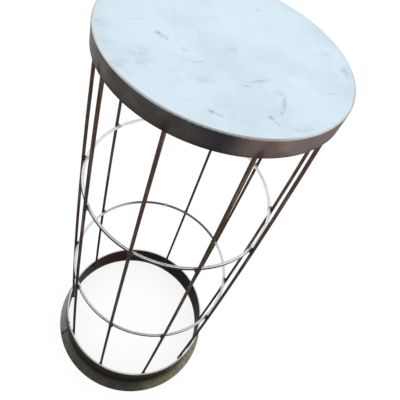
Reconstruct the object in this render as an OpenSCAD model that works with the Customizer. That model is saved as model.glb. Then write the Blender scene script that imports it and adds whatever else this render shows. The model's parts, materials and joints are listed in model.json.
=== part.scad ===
// Filter cage of a dust collector, standing on its collar with the closed end up.
// Ten lengthwise wires are welded to the outside of two hoops. A pressed pan closes
// one end, and a flared collar with a welded seam forms the open mouth.
// Origin: centre of the collar's lower edge. +Z runs up the cage to the pan.

/* [Cage] */
// Overall height, from the collar's lower edge to the pan's face
cage_h = 388; // [320:1:900]
// Gap between a wire and the piece it is welded to, filled by weld metal
joint_gap = 0.15; // [0.05:0.05:0.4]

/* [Wires] */
// Diameter of a lengthwise wire
wire_d = 2.5; // [2:0.1:5]
// How far each wire springs outward at mid-length
wire_bow = 2.5; // [0.5:0.1:6]
// Height of the wires' lower ends above the collar's lower edge
wire_foot_z = 22; // [12:0.5:24]
// Gap between the wires' upper ends and the pan's underside
wire_end_gap = 0.3; // [0.2:0.1:2]
// Angle of the first wire, anticlockwise from +X
first_wire_a = 20; // [0:0.5:36]

/* [Pan] */
// Outside diameter of the pan
pan_d = 150; // [120:0.5:200]
// Depth of the pan's skirt, face included
pan_skirt = 12.5; // [9:0.5:30]
// Sheet thickness of the pan
pan_t = 1; // [0.6:0.1:2]
// Outside radius of the pressed corner
pan_corner_r = 1.3; // [1.2:0.1:2.5]

/* [Hoops] */
// Diameter of the hoops' wire
hoop_d = 2.5; // [2:0.1:5]
// Height of the lower hoop
hoop_lower_z = 141; // [80:1:180]
// Height of the upper hoop
hoop_upper_z = 263; // [200:1:290]
// Angle of the hoops' closing welds
hoop_joint_a = 110; // [100:1:120]
// Width of the gap that a hoop's closing weld fills
hoop_joint_w = 1; // [0.5:0.1:2]

/* [Collar] */
// Outside diameter of the collar's straight part
collar_d = 155; // [125:0.5:205]
// How far the lower edge flares outward from the straight part
collar_flare = 7.5; // [2:0.5:12]
// Height of the collar
collar_h = 35.5; // [32:0.5:60]
// Height at which the flare begins
collar_flare_h = 12; // [8:0.5:20]
// Sheet thickness of the collar
collar_t = 1.5; // [0.6:0.1:2]
// Angle of the collar's welded seam
seam_a = 228; // [205:1:231]
// Width of the seam
seam_w = 1.6; // [0.8:0.1:3]

/* [Welds] */
// Diameter of the weld nugget where a wire crosses a hoop
hoop_weld_d = 4.2; // [3.6:0.1:6]
// Diameter of the weld bead that holds a wire to the pan's skirt or to the collar
wall_weld_d = 4.4; // [4:0.1:7]
// How far those beads stop short of the wall's ends
wall_weld_inset = 1.8; // [0.5:0.1:2.2]
// Height of a hoop's closing weld above the hoop's own surface
closing_weld_h = 0.35; // [0.1:0.05:0.8]
// Width of a hoop's closing weld
closing_weld_w = 2.6; // [2.2:0.1:5]
// Gap that keeps the weld solids clear of the pieces they join
weld_skin = 0.03; // [0.01:0.01:0.04]

/* [Hidden] */

$fn = 48;
round_fn = 240;
tube_fn = 48;
// Turns a nugget's poles into the corners between its wire and its hoop
pole_tilt = 45;
wire_n = 10;
wire_pitch = 360 / wire_n;
arc_steps = 32;

pan_r = pan_d / 2;
pan_in_r = pan_r - pan_t;
// Inside radius of the pressed corner, which stays round in thick sheet
sharpest_r = 0.1;
pan_corner_in_r = max(pan_corner_r - pan_t, sharpest_r);
collar_r = collar_d / 2;
collar_in_r = collar_r - collar_t;
mouth_r = collar_r + collar_flare;
wire_r = wire_d / 2;
hoop_r = hoop_d / 2;
// Reach of the blocks that cut the collar and the hoops at their joints
cut_reach = mouth_r + pan_r;

// Every wire is an arc in a plane through the cage's axis. It passes just inside
// the pan's lip and the collar's lip, and bows outward between these two seats.
// Points are [distance from the axis, height].
seat_top = [pan_in_r - wire_r - joint_gap, cage_h - pan_skirt];
seat_low = [collar_in_r - wire_r - joint_gap, collar_h];
chord = seat_top - seat_low;
chord_l = norm(chord);
chord_out = [chord.y, -chord.x] / chord_l;
arc_r = (pow(chord_l / 2, 2) + pow(wire_bow, 2)) / (2 * wire_bow);
arc_c = (seat_top + seat_low) / 2 - chord_out * (arc_r - wire_bow);

// Distance of a wire's centre line from the axis at a height
function wire_at(z) = arc_c.x + sqrt(pow(arc_r, 2) - pow(z - arc_c.y, 2));
// Angle on the wire's arc at a height
function arc_a(z) = asin((z - arc_c.y) / arc_r);
// Centre-line radius of a hoop that sits inside the wires at a height
function hoop_at(z) = wire_at(z) - wire_r - joint_gap - hoop_r;

wire_a0 = arc_a(wire_foot_z);
wire_a1 = arc_a(cage_h - pan_t - wire_end_gap);

// The flare is an arc that leaves the straight wall smoothly
flare_r = (pow(collar_flare_h, 2) + pow(collar_flare, 2)) / (2 * collar_flare);

// Height from which the collar is straight and has a wire inside it
collar_weld_z = max(collar_flare_h, wire_foot_z);

// Heights between which the pan's skirt is straight inside
skirt_low_z = cage_h - pan_skirt;
skirt_high_z = cage_h - pan_t - pan_corner_in_r;

// Places copies at the angle of every wire
module at_wires() {
    for (i = [0 : wire_n - 1])
        rotate([0, 0, first_wire_a + i * wire_pitch])
            children();
}

// Half profile of a pressed dish with a rounded corner, open end at y = 0
module dish_profile(r, h, corner) {
    square([r - corner, h]);
    square([r, h - corner]);
    translate([r - corner, h - corner])
        circle(r = corner);
}

// One bowed wire in the XZ plane
module wire_arc(d) {
    translate([arc_c.x, 0, arc_c.y])
        rotate([90, 0, 0])
            rotate([0, 0, wire_a0])
                rotate_extrude(angle = wire_a1 - wire_a0, $fn = arc_steps * 360 / (wire_a1 - wire_a0))
                    translate([arc_r, 0])
                        circle(d = d, $fn = tube_fn);
}

// Straight length of a wire at a height, along the wire's own slope there
module wire_stub(z, d, l) {
    translate([wire_at(z), 0, z])
        rotate([0, -arc_a(z), 0])
            cylinder(d = d, h = l, center = true);
}

// Straight length of a hoop where it passes a wire
module hoop_stub(z, d, l) {
    translate([hoop_at(z), 0, z])
        rotate([90, 0, 0])
            cylinder(d = d, h = l, center = true);
}

// Closed ring of round wire at a height
module ring(z, d) {
    translate([0, 0, z])
        rotate_extrude($fn = round_fn)
            translate([hoop_at(z), 0])
                circle(d = d, $fn = tube_fn);
}

// Upright slab that runs outward from the axis along +X
module slab(width) {
    translate([0, -width / 2, 0])
        cube([cut_reach, width, cage_h]);
}

// Ring with the gap that its closing weld fills
module open_ring(z, d, gap_w) {
    difference() {
        ring(z, d);
        rotate([0, 0, hoop_joint_a])
            slab(gap_w);
    }
}

// Half profile of the collar's sheet: a straight wall above an outward flare
module collar_profile() {
    translate([collar_in_r, collar_flare_h])
        square([collar_t, collar_h - collar_flare_h]);
    intersection() {
        translate([collar_r + flare_r, collar_flare_h])
            difference() {
                circle(r = flare_r + collar_t, $fn = round_fn);
                circle(r = flare_r, $fn = round_fn);
            }
        square([mouth_r, collar_flare_h]);
    }
}

// The whole band, before its seam is cut
module collar_band() {
    rotate_extrude($fn = round_fn)
        collar_profile();
}

// Pressed sheet cap that closes the cage
module pan() {
    color("lightsteelblue")
        translate([0, 0, cage_h - pan_skirt])
            rotate_extrude($fn = round_fn)
                intersection() {
                    difference() {
                        dish_profile(pan_r, pan_skirt, pan_corner_r);
                        dish_profile(pan_in_r, pan_skirt - pan_t, pan_corner_in_r);
                    }
                    square([pan_r, pan_skirt]);
                }
}

// Lengthwise wire, counted from 1
module wire(count) {
    color("dimgray")
        rotate([0, 0, first_wire_a + (count - 1) * wire_pitch])
            wire_arc(wire_d);
}

// Hoop of round wire inside the lengthwise wires
module hoop(z) {
    color("silver")
        open_ring(z, hoop_d, hoop_joint_w);
}

// Flared band around the wires' lower ends, open at its seam
module collar() {
    color("gray")
        difference() {
            collar_band();
            rotate([0, 0, seam_a])
                slab(seam_w);
        }
}

// Weld nuggets in the crevices where the wires cross a hoop
module hoop_welds(z) {
    color("darkslategray")
        at_wires()
            difference() {
                translate([wire_at(z) - wire_r - joint_gap / 2, 0, z])
                    rotate([pole_tilt, 0, 0])
                        sphere(d = hoop_weld_d);
                wire_stub(z, wire_d + 2 * weld_skin, 2 * hoop_weld_d);
                hoop_stub(z, hoop_d + 2 * weld_skin, 2 * hoop_weld_d);
            }
}

// Bead that closes a hoop: it fills the gap and stands a little proud
module hoop_closing_weld(z) {
    color("darkslategray")
        difference() {
            intersection() {
                ring(z, hoop_d + 2 * closing_weld_h);
                rotate([0, 0, hoop_joint_a])
                    slab(closing_weld_w);
            }
            open_ring(z, hoop_d + 2 * weld_skin, hoop_joint_w - 2 * weld_skin);
        }
}

// Weld beads along the wires, on a round wall outside them that is straight
// from z_low to z_high
module wall_welds(wall_r, z_low, z_high) {
    wall_l = z_high - z_low;
    bead_l = wall_l - 2 * wall_weld_inset;
    color("darkslategray")
        at_wires()
            difference() {
                intersection() {
                    translate([wall_r - joint_gap / 2, 0, z_low + wall_weld_inset])
                        cylinder(d = wall_weld_d, h = bead_l);
                    translate([0, 0, z_low])
                        cylinder(r = wall_r - weld_skin, h = wall_l, $fn = round_fn);
                }
                wire_stub((z_low + z_high) / 2, wire_d + 2 * weld_skin, wall_l);
            }
}

// Weld that joins the collar's two ends, ground flush
module collar_seam_weld() {
    color("lightgray")
        intersection() {
            collar_band();
            rotate([0, 0, seam_a])
                slab(seam_w - 2 * weld_skin);
        }
}

pan();
wire(1);  // wire_01
wire(2);  // wire_02
wire(3);  // wire_03
wire(4);  // wire_04
wire(5);  // wire_05
wire(6);  // wire_06
wire(7);  // wire_07
wire(8);  // wire_08
wire(9);  // wire_09
wire(10);  // wire_10
hoop(hoop_upper_z);  // hoop_upper
hoop(hoop_lower_z);  // hoop_lower
collar();
hoop_welds(hoop_upper_z);  // hoop_upper_welds
hoop_welds(hoop_lower_z);  // hoop_lower_welds
hoop_closing_weld(hoop_upper_z);  // hoop_upper_closing_weld
hoop_closing_weld(hoop_lower_z);  // hoop_lower_closing_weld
wall_welds(pan_in_r, skirt_low_z, skirt_high_z);  // pan_welds
wall_welds(collar_in_r, collar_weld_z, collar_h);  // collar_welds
collar_seam_weld();
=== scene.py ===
"""Looks of the baghouse filter cage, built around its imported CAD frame.

Blender's lengths are in metres. Lengths inside the materials are in millimetres.
"""
import json
import math

import bpy
from mathutils import Matrix, Vector


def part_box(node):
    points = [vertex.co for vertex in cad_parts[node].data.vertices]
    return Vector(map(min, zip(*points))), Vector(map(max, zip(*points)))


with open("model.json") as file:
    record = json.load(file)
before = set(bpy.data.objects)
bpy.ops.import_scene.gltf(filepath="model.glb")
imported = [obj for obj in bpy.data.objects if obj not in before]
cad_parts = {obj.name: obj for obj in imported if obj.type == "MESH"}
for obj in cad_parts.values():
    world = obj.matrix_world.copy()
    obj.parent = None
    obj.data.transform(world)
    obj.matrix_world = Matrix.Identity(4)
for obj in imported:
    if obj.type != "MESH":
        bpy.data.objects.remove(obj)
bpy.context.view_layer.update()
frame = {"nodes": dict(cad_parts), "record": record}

# Camera, fitted to the photograph's square frame
CAM_POS = Vector((0.0540, -0.2143, 0.5106))
CAM_AIM = Vector((0.0108, 0.0499, 0.2))
CAM_ROLL = math.radians(-23.3)
CAM_LENS = 38.74
CAM_SENSOR = 36.0
CAM_NEAR = 0.01

# Millimetres in a metre, degrees in a turn, and the places of the axes in a point
MM = 1000.0
FULL_TURN = 360.0
X, Y, Z = 0, 1, 2


def reach(node, axis):
    """The lowest and highest place of a CAD node along an axis, in millimetres."""
    return [corner[axis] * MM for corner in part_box(node)]


# Sizes of the cage in millimetres, from the frame
PAN_FOOT, PAN_TOP = reach("pan", Z)
PAN_R = reach("pan", X)[1]
COLLAR_H = reach("collar", Z)[1]
HOOP_UPPER_Z = sum(reach("hoop_upper", Z)) / 2.0
HOOP_LOWER_Z = sum(reach("hoop_lower", Z)) / 2.0
# Radius at which the wires meet the hoops
JOINT_R = (reach("hoop_upper", X)[1] + reach("hoop_lower", X)[1]) / 2.0
# Heights of the welds at the pan and at the collar
PAN_WELD_Z = PAN_TOP - 7.0
COLLAR_WELD_Z = COLLAR_H - 6.0
# Outer radius of the pan's pressed corner, as in the CAD source
PAN_CORNER_R = 1.3

# Azimuths in degrees, anticlockwise from +X: the first wire, the collar's seam and the cage's back
WIRE_FIRST = 20.0
SEAM_A = 228.0
BACK_A = 90.0
# Degrees from one wire to the next
WIRE_PITCH = 36.0

# Most values of a noise lie between these
NOISE_LOW = 0.32
NOISE_HIGH = 0.68
# Share of an oval mark's size within which it is at full strength
MARK_CORE = 0.15
# Sockets of a Mix node that take and give colours, which share their names with others
MIX_FIRST, MIX_SECOND, MIX_RESULT = 6, 7, 2

scene = bpy.context.scene
scene.view_settings.view_transform = "Standard"


def srgb(red, green, blue):
    """A colour in display levels, 0 to 255, turned into linear light."""
    def linear(value):
        value /= 255.0
        return value / 12.92 if value <= 0.04045 else ((value + 0.055) / 1.055) ** 2.4
    return (linear(red), linear(green), linear(blue), 1.0)


def turn_from_back(azimuth):
    """The share of a turn from the cage's back to an azimuth in degrees."""
    return ((azimuth - BACK_A) % FULL_TURN) / FULL_TURN


class Finish:
    """A procedural metal, with short names for its nodes and for places on the cage.

    turn and degrees run anticlockwise from the cage's back. outward is 1 on a surface that
    faces away from the cage's axis and -1 on one that faces the axis.
    """

    def __init__(self, name, edge_tint=1.0):
        self.material = bpy.data.materials.new(name)
        self.material.use_nodes = True
        self.tree = self.material.node_tree
        self.tree.nodes.clear()
        output = self.node("ShaderNodeOutputMaterial")
        self.shader = self.node("ShaderNodeBsdfPrincipled")
        self.tree.links.new(self.shader.outputs["BSDF"], output.inputs["Surface"])
        self.shader.inputs["Metallic"].default_value = 1.0
        self.shader.inputs["Specular Tint"].default_value = (edge_tint, edge_tint, edge_tint, 1.0)
        coords = self.node("ShaderNodeTexCoord")
        self.normal = self.parts(coords.outputs["Normal"])
        self.place = self.scale(coords.outputs["Object"], MM)
        self.x, self.y, self.z = self.parts(self.place)
        self.r = self.math("SQRT", self.add(self.times(self.x, self.x), self.times(self.y, self.y)))
        turn_from_x = self.math("DIVIDE", self.math("ARCTAN2", self.y, self.x), 2.0 * math.pi)
        self.turn = self.math("FRACT", self.add(turn_from_x, 1.0 - BACK_A / FULL_TURN))
        self.degrees = self.times(self.turn, FULL_TURN)
        along = self.add(self.times(self.x, self.normal[X]), self.times(self.y, self.normal[Y]))
        self.outward = self.math("DIVIDE", along, self.r)

    def node(self, kind):
        return self.tree.nodes.new(kind)

    def put(self, socket, value):
        """Link a socket to the value, or set it where the value is a constant."""
        if isinstance(value, bpy.types.NodeSocket):
            self.tree.links.new(value, socket)
        else:
            socket.default_value = value

    def math(self, operation, first, second=None):
        node = self.node("ShaderNodeMath")
        node.operation = operation
        self.put(node.inputs[0], first)
        if second is not None:
            self.put(node.inputs[1], second)
        return node.outputs[0]

    def add(self, first, second):
        return self.math("ADD", first, second)

    def times(self, first, second):
        return self.math("MULTIPLY", first, second)

    def scale(self, value, factor):
        """A colour or a place times a factor."""
        node = self.node("ShaderNodeVectorMath")
        node.operation = "SCALE"
        self.put(node.inputs[0], value)
        self.put(node.inputs["Scale"], factor)
        return node.outputs["Vector"]

    def parts(self, value):
        node = self.node("ShaderNodeSeparateXYZ")
        self.put(node.inputs[0], value)
        return node.outputs

    def step(self, value, start, end, low=0.0, high=1.0):
        """A smooth change from low to high while value goes from start to end."""
        node = self.node("ShaderNodeMapRange")
        node.interpolation_type = "SMOOTHSTEP"
        self.put(node.inputs["Value"], value)
        self.put(node.inputs["From Min"], start)
        self.put(node.inputs["From Max"], end)
        self.put(node.inputs["To Min"], low)
        self.put(node.inputs["To Max"], high)
        return node.outputs["Result"]

    def near(self, value, centre, outer, inner, most=1.0):
        """Most within inner of the centre, fading to 0 at outer."""
        away = self.math("ABSOLUTE", self.math("SUBTRACT", value, centre))
        return self.step(away, outer, inner, 0.0, most)

    def mix(self, factor, first, second):
        """The first colour where the factor is 0, and the second where it is 1."""
        node = self.node("ShaderNodeMix")
        node.data_type = "RGBA"
        self.put(node.inputs["Factor"], factor)
        self.put(node.inputs[MIX_FIRST], first)
        self.put(node.inputs[MIX_SECOND], second)
        return node.outputs[MIX_RESULT]

    def around(self, stops, back):
        """A colour that changes round the cage, from stops of azimuth and colour and the back's colour."""
        places = [(0.0, srgb(*back)), (1.0, srgb(*back))]
        places += [(turn_from_back(azimuth), srgb(*colour)) for azimuth, colour in stops]
        node = self.node("ShaderNodeValToRGB")
        node.color_ramp.interpolation = "EASE"
        elements = node.color_ramp.elements
        while len(elements) < len(places):
            elements.new(0.5)
        for element, (position, colour) in zip(elements, sorted(places)):
            element.position = position
            element.color = colour
        self.put(node.inputs["Fac"], self.turn)
        return node.outputs["Color"]

    def noise(self, size, detail=4.0, rough=0.6, stretch=(1.0, 1.0, 1.0), shift=0.0, angle=0.0):
        """Noise whose features are about size millimetres wide, stretched along axes turned by an angle."""
        turned = self.node("ShaderNodeMapping")
        self.put(turned.inputs["Vector"], self.place)
        turned.inputs["Rotation"].default_value = (0.0, 0.0, math.radians(-angle))
        sized = self.node("ShaderNodeMapping")
        self.put(sized.inputs["Vector"], turned.outputs["Vector"])
        sized.inputs["Location"].default_value = (shift, shift, shift)
        sized.inputs["Scale"].default_value = [1.0 / (size * times) for times in stretch]
        node = self.node("ShaderNodeTexNoise")
        self.put(node.inputs["Vector"], sized.outputs["Vector"])
        node.inputs["Scale"].default_value = 1.0
        node.inputs["Detail"].default_value = detail
        node.inputs["Roughness"].default_value = rough
        return node.outputs["Fac"]

    def vary(self, colour, noise, low, high):
        """The colour, made darker and lighter by a noise."""
        return self.scale(colour, self.step(noise, NOISE_LOW, NOISE_HIGH, low, high))

    def oval(self, centre, half_sizes, angle=0.0):
        """1 at the centre of an oval mark, fading to 0 at its edge."""
        local = self.node("ShaderNodeMapping")
        local.vector_type = "TEXTURE"
        self.put(local.inputs["Vector"], self.place)
        local.inputs["Location"].default_value = centre
        local.inputs["Rotation"].default_value = (0.0, 0.0, math.radians(angle))
        local.inputs["Scale"].default_value = half_sizes
        away = self.node("ShaderNodeVectorMath")
        away.operation = "LENGTH"
        self.put(away.inputs[0], local.outputs["Vector"])
        return self.step(away.outputs["Value"], 1.0, MARK_CORE)

    def at_wires(self, half_width):
        """1 beside each lengthwise wire, fading over half_width degrees."""
        half_pitch = WIRE_PITCH / 2.0
        core = 0.4
        from_wire = self.add(self.degrees, BACK_A - WIRE_FIRST + half_pitch)
        return self.near(self.math("FLOORED_MODULO", from_wire, WIRE_PITCH), half_pitch, half_width, core)

    def colour(self, value):
        self.put(self.shader.inputs["Base Color"], value)

    def roughness(self, value):
        self.put(self.shader.inputs["Roughness"], value)

    def bump(self, height, strength, distance):
        """Relief from a height, where distance is in metres."""
        node = self.node("ShaderNodeBump")
        node.inputs["Strength"].default_value = strength
        node.inputs["Distance"].default_value = distance
        self.put(node.inputs["Height"], height)
        self.put(self.shader.inputs["Normal"], node.outputs["Normal"])


# Scuffs on the pan's face: x, y, half length, half width, angle, strength
PAN_SCUFFS = (
    (-29.0, -26.5, 6.5, 2.6, -10.0, 0.34),
    (-31.5, -26.0, 3.2, 2.2, -10.0, 0.52),
    (-26.5, -27.0, 2.4, 1.7, -10.0, 0.42),
    (-4.5, -31.5, 5.0, 1.0, 55.0, 0.28),
    (27.0, -20.0, 14.0, 1.6, 55.0, 0.28),
    (23.0, -30.0, 3.6, 1.0, 30.0, 0.34),
    (43.5, -28.0, 9.5, 2.0, -75.0, 0.40),
    (45.0, -36.0, 2.4, 1.4, -60.0, 0.50),
    (17.5, -61.0, 3.0, 1.9, 10.0, 0.52),
    (21.0, -60.5, 4.6, 1.4, 10.0, 0.36),
    (45.5, -45.0, 4.6, 1.0, -20.0, 0.36),
    (42.0, -43.5, 2.2, 1.8, 0.0, 0.55),
    (-2.0, 47.5, 4.0, 1.2, 15.0, 0.32),
    (61.5, 1.0, 11.0, 1.0, 35.0, 0.26),
    (-30.5, -11.0, 27.0, 0.7, -60.0, 0.14),
    (-16.5, -7.0, 12.0, 0.7, -65.0, 0.14),
)

# Softer dull patches on the pan's face, in the same order
PAN_SMUDGES = (
    (-31.0, -48.0, 9.0, 7.0, 40.0, 0.42),
    (-24.0, -53.0, 8.0, 5.0, 50.0, 0.46),
    (-31.0, -63.0, 8.0, 4.0, 60.0, 0.50),
    (-43.0, -54.5, 9.0, 5.0, -50.0, 0.50),
    (-57.0, -42.0, 9.0, 5.0, -60.0, 0.46),
    (-15.0, -28.0, 3.5, 2.5, 0.0, 0.42),
    (3.5, -6.5, 5.0, 4.0, 30.0, 0.42),
    (0.0, -48.0, 18.0, 5.0, 50.0, 0.30),
    (38.0, -22.0, 6.0, 4.0, 40.0, 0.38),
    (48.0, 38.5, 6.0, 4.0, 20.0, 0.42),
    (57.5, -39.0, 9.0, 4.0, 50.0, 0.42),
    (62.5, 29.5, 9.0, 4.5, -60.0, 0.60),
)


def face_marks(fin, rows):
    """The strongest of a list of marks on the pan's face."""
    half_height = 50.0
    total = 0.0
    for x, y, half_length, half_width, angle, strength in rows:
        oval = fin.oval((x, y, PAN_TOP), (half_length, half_width, half_height), angle)
        total = fin.math("MAXIMUM", total, fin.times(oval, strength))
    return total


def pan_face(fin, cloud, grain, scuff):
    """Pale blue sheet, its colour a painted reflection of the sky, with clouds, smudges, scuffs and smears,
    painted light making it lighter to the back, and dull at the rim.
    """
    pale, cloudy, grainy = srgb(220, 238, 250), srgb(210, 228, 240), srgb(198, 216, 226)
    smudged, scuffed, smeared = srgb(164, 184, 198), srgb(122, 140, 150), srgb(188, 206, 216)
    face = fin.mix(fin.step(cloud, 0.36, 0.70), pale, cloudy)
    face = fin.mix(fin.step(grain, 0.55, 0.82, 0.0, 0.4), face, grainy)
    blotch = fin.step(fin.noise(6.0, detail=5.0, rough=0.7, shift=9.0), 0.38, 0.64)
    face = fin.mix(fin.times(face_marks(fin, PAN_SMUDGES), blotch), face, smudged)
    face = fin.mix(scuff, face, scuffed)
    streaky = fin.noise(4.0, rough=0.65, stretch=(4.0, 0.9, 1.0), shift=6.0, angle=54.0)
    patchy = fin.step(fin.noise(20.0, detail=3.0, shift=1.0), 0.46, 0.62, 0.0, 0.40)
    face = fin.mix(fin.times(fin.step(streaky, 0.54, 0.72), patchy), face, smeared)
    # Painted light: the face grows lighter towards the back.
    front_y, back_y = 5.0 - PAN_R, PAN_R - 15.0
    face = fin.scale(face, fin.step(fin.y, front_y, back_y, 0.95, 1.10))
    wear_and_shade = fin.step(fin.noise(16.0, detail=3.0, rough=0.55, shift=2.0), 0.42, 0.60, 0.0, 0.3)
    rim = fin.step(fin.r, PAN_R - 10.0, PAN_R - 2.0)
    return fin.mix(fin.times(rim, wear_and_shade), face, srgb(214, 218, 214))


def pan_skirt(fin):
    """Dark sheet with lines round it, its colour round it a painted reflection and shade, a darker lower
    edge and heat marks over the wires.
    """
    # Painted reflection and shade round the skirt: lighter at the left and the right, near black at the
    # front.
    skirt = fin.around((
        (230, (118, 116, 112)), (250, (76, 72, 70)), (278, (66, 62, 60)), (291, (48, 44, 50)),
        (308, (104, 90, 86)), (328, (132, 120, 116)), (15, (92, 86, 82)),
    ), back=(76, 72, 70))
    skirt = fin.vary(skirt, fin.noise(3.2, stretch=(12.0, 12.0, 0.35)), 0.92, 1.07)
    skirt = fin.vary(skirt, fin.noise(11.0, shift=7.0), 0.84, 1.16)
    # Darker towards the lower edge.
    darker_at_foot = fin.step(fin.z, PAN_FOOT + 4.0, PAN_FOOT, 0.0, 0.35)
    skirt = fin.mix(darker_at_foot, skirt, srgb(48, 40, 38))
    heat = fin.times(fin.at_wires(3.0), fin.step(fin.z, PAN_TOP - 3.0, PAN_FOOT + 1.5, 0.0, 0.7))
    return fin.mix(heat, skirt, srgb(46, 30, 26))


def painted_corner_highlight(fin):
    """Painted highlight on the corner between the face and the skirt, weaker at the front."""
    return fin.around((
        (200, (222, 222, 218)), (238, (216, 216, 212)), (258, (168, 174, 178)), (285, (154, 160, 164)),
        (308, (158, 150, 144)), (332, (216, 208, 200)),
    ), back=(190, 190, 188))


def pan_finish():
    """A pale scuffed face and a dark skirt, coloured with painted reflection, a painted highlight on the
    corner, and a plain inside.
    """
    fin = Finish("pan_sheet", edge_tint=0.5)
    cloud = fin.noise(34.0, shift=3.0)
    grain = fin.noise(6.0, detail=5.0, rough=0.65)
    broken = fin.step(fin.noise(2.4, rough=0.7, shift=5.0), 0.34, 0.62, 0.22, 1.0)
    scuff = fin.times(face_marks(fin, PAN_SCUFFS), broken)
    inside = fin.mix(fin.step(cloud, 0.35, 0.65), srgb(96, 92, 88), srgb(126, 124, 120))
    up = fin.normal[Z]
    wall = fin.mix(fin.step(fin.outward, 0.2, -0.2), pan_skirt(fin), inside)
    # Painted highlight along the pan's corner.
    on_corner = fin.step(fin.z, PAN_TOP - 0.8 * PAN_CORNER_R, PAN_TOP - 0.3 * PAN_CORNER_R)
    whole = fin.mix(on_corner, wall, painted_corner_highlight(fin))
    within_corner = fin.step(fin.r, PAN_R - 0.45 * PAN_CORNER_R, PAN_R - PAN_CORNER_R)
    on_face = fin.times(within_corner, fin.step(up, 0.1, 0.5))
    whole = fin.mix(on_face, whole, pan_face(fin, cloud, grain, scuff))
    fin.colour(fin.mix(fin.step(up, -0.6, -0.9), whole, inside))
    fin.roughness(fin.step(fin.add(scuff, fin.times(grain, 0.5)), 0.1, 0.9, 0.34, 0.58))
    dents = fin.noise(28.0, detail=2.0, rough=0.5, shift=4.0)
    fin.bump(fin.add(dents, fin.times(scuff, -0.25)), strength=0.35, distance=0.0008)
    return fin.material


def wire_finish():
    """Drawn wire from olive to mauve brown, its brown a painted reflection of the ground, with painted shade
    making it darker low down, draw lines, rust and burnt stretches.
    """
    fin = Finish("wire_steel", edge_tint=0.5)
    olive, mauve, drawn = srgb(64, 56, 46), srgb(80, 62, 56), srgb(126, 114, 100)
    rusty, charred = srgb(74, 46, 36), srgb(44, 38, 36)
    body = fin.mix(fin.step(fin.noise(14.0, stretch=(1.0, 1.0, 4.0)), 0.38, 0.62), olive, mauve)
    lines = fin.step(fin.noise(1.1, detail=3.0, stretch=(1.0, 1.0, 30.0)), 0.50, 0.72, 0.0, 0.6)
    body = fin.mix(lines, body, drawn)
    rust = fin.noise(5.0, rough=0.65, stretch=(1.0, 1.0, 3.0), shift=2.0)
    body = fin.mix(fin.step(rust, 0.55, 0.70, 0.0, 0.7), body, rusty)
    body = fin.vary(body, fin.noise(2.6, rough=0.7, stretch=(1.0, 1.0, 3.0), shift=6.0), 0.76, 1.18)
    # Painted shade: the wire darkens towards its foot.
    light_z, dark_z = 230.0, 90.0
    body = fin.scale(body, fin.step(fin.z, light_z, dark_z, 1.0, 0.5))
    burnt = 0.0
    for height in (COLLAR_WELD_Z, HOOP_LOWER_Z, HOOP_UPPER_Z, PAN_WELD_Z):
        burnt = fin.math("MAXIMUM", burnt, fin.near(fin.z, height, outer=6.0, inner=1.5, most=0.5))
    fin.colour(fin.mix(burnt, body, charred))
    fin.roughness(fin.step(fin.noise(3.0, detail=3.0, rough=0.55, shift=8.0), 0.3, 0.7, 0.26, 0.44))
    fin.bump(fin.noise(0.8, detail=3.0, stretch=(1.0, 1.0, 20.0)), strength=0.25, distance=0.0002)
    return fin.material


def hoop_finish():
    """Bright drawn wire, with painted shade at the back of the lower hoop and on its outer lower side, and
    burnt at the wires.
    """
    fin = Finish("hoop_steel", edge_tint=0.5)
    pale = fin.mix(fin.step(fin.noise(14.0), 0.36, 0.66), srgb(238, 244, 248), srgb(220, 226, 228))
    # Painted shade round the lower hoop, darkest at the back.
    wear_and_shade = fin.around((
        (48, (216, 218, 220)), (62, (104, 102, 100)), (132, (96, 94, 92)), (150, (172, 172, 172)),
        (176, (228, 230, 232)), (230, (218, 220, 222)), (270, (198, 200, 200)),
    ), back=(108, 106, 104))
    above_lower = HOOP_LOWER_Z + 15.0
    body = fin.mix(fin.step(fin.z, above_lower + 5.0, above_lower - 5.0), pale, wear_and_shade)
    body = fin.vary(body, fin.noise(2.4, detail=3.0, shift=4.0), 0.90, 1.03)
    shaded_underside = fin.around((
        (188, (168, 172, 172)), (222, (48, 46, 46)), (318, (48, 46, 46)), (340, (160, 164, 162)),
        (15, (176, 180, 180)),
    ), back=(118, 116, 116))
    # The painted shade lies on the side that faces outward, dipped by this angle
    dip = math.radians(30.0)
    down = fin.times(fin.normal[Z], -math.sin(dip))
    facing = fin.add(fin.times(fin.outward, math.cos(dip)), down)
    body = fin.mix(fin.step(facing, -0.05, 0.30), body, shaded_underside)
    burnt = fin.times(fin.at_wires(2.2), 0.45)
    fin.colour(fin.mix(burnt, body, srgb(84, 74, 68)))
    fin.roughness(fin.step(burnt, 0.0, 0.7, 0.28, 0.5))
    fin.bump(fin.noise(0.7, detail=3.0), strength=0.2, distance=0.0001)
    return fin.material


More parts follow.
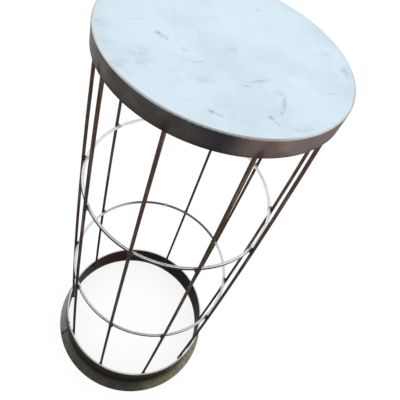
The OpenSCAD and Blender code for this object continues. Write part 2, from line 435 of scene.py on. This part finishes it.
def collar_outside(fin, lines):
    """Painted reflection and shade round the outside: grey at the left, near black at the front and olive at
    the right, lighter low down; with a ground patch at the seam.
    """
    upper = fin.around((
        (180, (116, 118, 116)), (212, (112, 116, 112)), (228, (50, 48, 46)), (250, (30, 28, 24)),
        (322, (28, 24, 16)), (345, (96, 92, 74)), (0, (120, 116, 100)),
    ), back=(92, 88, 82))
    lower = fin.around((
        (180, (140, 144, 140)), (212, (136, 140, 136)), (228, (90, 90, 86)), (252, (72, 68, 64)),
        (298, (58, 54, 50)), (328, (96, 92, 74)), (0, (130, 126, 110)),
    ), back=(98, 94, 88))
    lower_z, upper_z = 3.0, 19.0
    body = fin.mix(fin.step(fin.z, lower_z, upper_z), lower, upper)
    body = fin.vary(body, lines, 0.86, 1.12)
    body = fin.vary(body, fin.noise(9.0), 0.84, 1.14)
    body = fin.vary(body, fin.noise(3.2, detail=5.0, rough=0.7, shift=2.0), 0.84, 1.16)
    patch_a, patch_r, patch_z = math.radians(SEAM_A - 4.5), 80.0, 8.0
    patch_centre = (patch_r * math.cos(patch_a), patch_r * math.sin(patch_a), patch_z)
    patch = fin.oval(patch_centre, (5.5, 5.5, 12.0))
    ground = fin.noise(1.8, rough=0.65, stretch=(1.0, 1.0, 0.6), shift=3.0)
    body = fin.mix(fin.times(patch, fin.step(ground, 0.45, 0.57, 0.0, 0.6)), body, srgb(168, 172, 170))
    # Painted shadow line beside the seam.
    line_a = SEAM_A - 1.6
    dark_line = fin.near(fin.degrees, line_a - BACK_A, outer=1.3, inner=0.5, most=0.85)
    return fin.mix(dark_line, body, srgb(38, 40, 38))


def collar_inside(fin):
    """Painted shade on the inner wall: dark brown, redder at the left with the floor's colour painted in."""
    inside = fin.around((
        (148, (42, 24, 22)), (175, (50, 40, 36)), (220, (46, 40, 36)), (330, (44, 38, 34)),
        (10, (38, 34, 28)), (40, (24, 20, 14)),
    ), back=(28, 24, 22))
    return fin.vary(inside, fin.noise(14.0, shift=5.0), 0.86, 1.18)


def collar_finish():
    """Rolled sheet with lines round it and a painted highlight along its upper edge."""
    fin = Finish("collar_sheet", edge_tint=0.6)
    lines = fin.noise(2.6, stretch=(14.0, 14.0, 0.4))
    faces_in = fin.step(fin.outward, 0.25, -0.25)
    body = fin.mix(faces_in, collar_outside(fin, lines), collar_inside(fin))
    # Painted highlight along the upper edge.
    at_top = fin.step(fin.z, COLLAR_H - 2.0, COLLAR_H - 0.5)
    top_highlight = fin.times(fin.step(fin.normal[Z], 0.5, 0.8), at_top)
    fin.colour(fin.mix(top_highlight, body, srgb(214, 214, 210)))
    fin.roughness(fin.step(lines, 0.3, 0.7, 0.36, 0.54))
    fin.bump(lines, strength=0.15, distance=0.0003)
    return fin.material


def weld_finish():
    """Weld metal, bright beside a hoop and brown beside a wire, with joints darker at the side wires."""
    fin = Finish("weld_metal", edge_tint=0.6)
    dark, clean = (38, 34, 30), (96, 86, 80)
    hoop_side, wire_side = srgb(186, 188, 188), srgb(66, 56, 50)
    joint = fin.around((
        (150, dark), (210, dark), (224, clean), (320, clean), (334, dark), (30, dark), (60, clean),
    ), back=clean)
    at_hoops = [fin.near(fin.z, height, outer=1.8, inner=0.8) for height in (HOOP_UPPER_Z, HOOP_LOWER_Z)]
    body = fin.mix(fin.math("MAXIMUM", *at_hoops), wire_side, joint)
    body = fin.mix(fin.step(fin.r, JOINT_R - 0.6, JOINT_R - 1.4), body, hoop_side)
    body = fin.mix(fin.step(fin.r, JOINT_R + 0.4, JOINT_R + 1.1), body, wire_side)
    fin.colour(fin.vary(body, fin.noise(1.6), 0.78, 1.12))
    fin.roughness(0.42)
    fin.bump(fin.noise(1.0, detail=3.0), strength=0.6, distance=0.0004)
    return fin.material


def ground_weld_finish():
    """The collar's seam, ground flush, with grinding lines across it."""
    fin = Finish("ground_weld")
    across = (8.0, 8.0, 0.5)
    tone = fin.step(fin.noise(1.2, stretch=across), 0.36, 0.64)
    fin.colour(fin.mix(tone, srgb(74, 74, 72), srgb(108, 108, 104)))
    fin.roughness(0.34)
    fin.bump(fin.noise(0.8, detail=3.0, stretch=across), strength=0.3, distance=0.0002)
    return fin.material


FINISHES = {
    "pan_sheet": pan_finish(),
    "wire_steel": wire_finish(),
    "hoop_steel": hoop_finish(),
    "collar_sheet": collar_finish(),
    "weld_metal": weld_finish(),
    "ground_weld": ground_weld_finish(),
}
for subpart in frame["record"]["subparts"]:
    node = frame["nodes"][subpart["node"]]
    for material_slot in node.material_slots:
        material_slot.material = FINISHES[subpart["material_slot"]]


def seen_white(tree):
    """1 for the rays that see the background: from the camera, or by reflection or through glass."""
    path = tree.nodes.new("ShaderNodeLightPath")
    total = path.outputs["Is Camera Ray"]
    for name in ("Is Glossy Ray", "Is Transmission Ray"):
        node = tree.nodes.new("ShaderNodeMath")
        node.operation = "MAXIMUM"
        tree.links.new(total, node.inputs[0])
        tree.links.new(path.outputs[name], node.inputs[1])
        total = node.outputs[0]
    return total


def scaled(tree, socket, gain, offset):
    """A socket's value times a gain, plus an offset."""
    node = tree.nodes.new("ShaderNodeMath")
    node.operation = "MULTIPLY_ADD"
    tree.links.new(socket, node.inputs[0])
    node.inputs[1].default_value = gain
    node.inputs[2].default_value = offset
    return node.outputs[0]


# Floor: a matt surface that keeps a faint shadow, lifted to white where it is seen
FLOOR_HALF = 12.0
FLOOR_COLOUR = (0.25, 0.25, 0.25, 1.0)
FLOOR_LIFT = 0.85
# Just under the collar's lower edge, so that the two don't share a plane
FLOOR_Z = -0.0002
floor_mesh = bpy.data.meshes.new("floor")
floor_mesh.from_pydata([(-FLOOR_HALF, -FLOOR_HALF, 0), (FLOOR_HALF, -FLOOR_HALF, 0),
                        (FLOOR_HALF, FLOOR_HALF, 0), (-FLOOR_HALF, FLOOR_HALF, 0)], [], [(0, 1, 2, 3)])
floor = bpy.data.objects.new("floor", floor_mesh)
floor.location.z = FLOOR_Z
scene.collection.objects.link(floor)
floor_material = bpy.data.materials.new("floor")
floor_material.use_nodes = True
tree = floor_material.node_tree
tree.nodes.clear()
matt = tree.nodes.new("ShaderNodeBsdfDiffuse")
matt.inputs["Color"].default_value = FLOOR_COLOUR
glow = tree.nodes.new("ShaderNodeEmission")
tree.links.new(scaled(tree, seen_white(tree), FLOOR_LIFT, 0.0), glow.inputs["Strength"])
both = tree.nodes.new("ShaderNodeAddShader")
tree.links.new(matt.outputs["BSDF"], both.inputs[0])
tree.links.new(glow.outputs["Emission"], both.inputs[1])
floor_output = tree.nodes.new("ShaderNodeOutputMaterial")
tree.links.new(both.outputs["Shader"], floor_output.inputs["Surface"])
floor_mesh.materials.append(floor_material)

# World: soft light all round, white where it is seen
WORLD_LIGHT = 0.7
world = bpy.data.worlds.new("studio")
scene.world = world
world.use_nodes = True
tree = world.node_tree
tree.nodes.clear()
sky = tree.nodes.new("ShaderNodeBackground")
sky.inputs["Color"].default_value = (1.0, 1.0, 1.0, 1.0)
tree.links.new(scaled(tree, seen_white(tree), 1.0 - WORLD_LIGHT, WORLD_LIGHT), sky.inputs["Strength"])
sky_output = tree.nodes.new("ShaderNodeOutputWorld")
tree.links.new(sky.outputs["Background"], sky_output.inputs["Surface"])

# Lamps: name, place, aim, width, power
LAMPS = (
    ("key", (-0.5, 0.9, 2.0), (0, 0, 0.3), 2.6, 1.6),
    ("side", (1.5, -0.5, 0.7), (0, 0, 0.2), 1.4, 3.5),
)
for name, place, aim, width, power in LAMPS:
    lamp = bpy.data.lights.new(name, "AREA")
    lamp.shape = "DISK"
    lamp.size = width
    lamp.energy = power
    holder = bpy.data.objects.new(name, lamp)
    holder.location = place
    holder.rotation_euler = (Vector(aim) - Vector(place)).to_track_quat("-Z", "Y").to_euler()
    scene.collection.objects.link(holder)

# Camera, turned about its own axis by the roll
lens = bpy.data.cameras.new("camera")
lens.lens = CAM_LENS
lens.sensor_width = CAM_SENSOR
lens.clip_start = CAM_NEAR
camera = bpy.data.objects.new("camera", lens)
forward = (CAM_AIM - CAM_POS).normalized()
level = forward.cross(Vector((0, 0, 1))).normalized()
down = forward.cross(level)
right = level * math.cos(CAM_ROLL) + down * math.sin(CAM_ROLL)
up = -forward.cross(right)
camera.matrix_world = Matrix((right, up, -forward)).transposed().to_4x4()
camera.location = CAM_POS
scene.collection.objects.link(camera)
scene.camera = camera
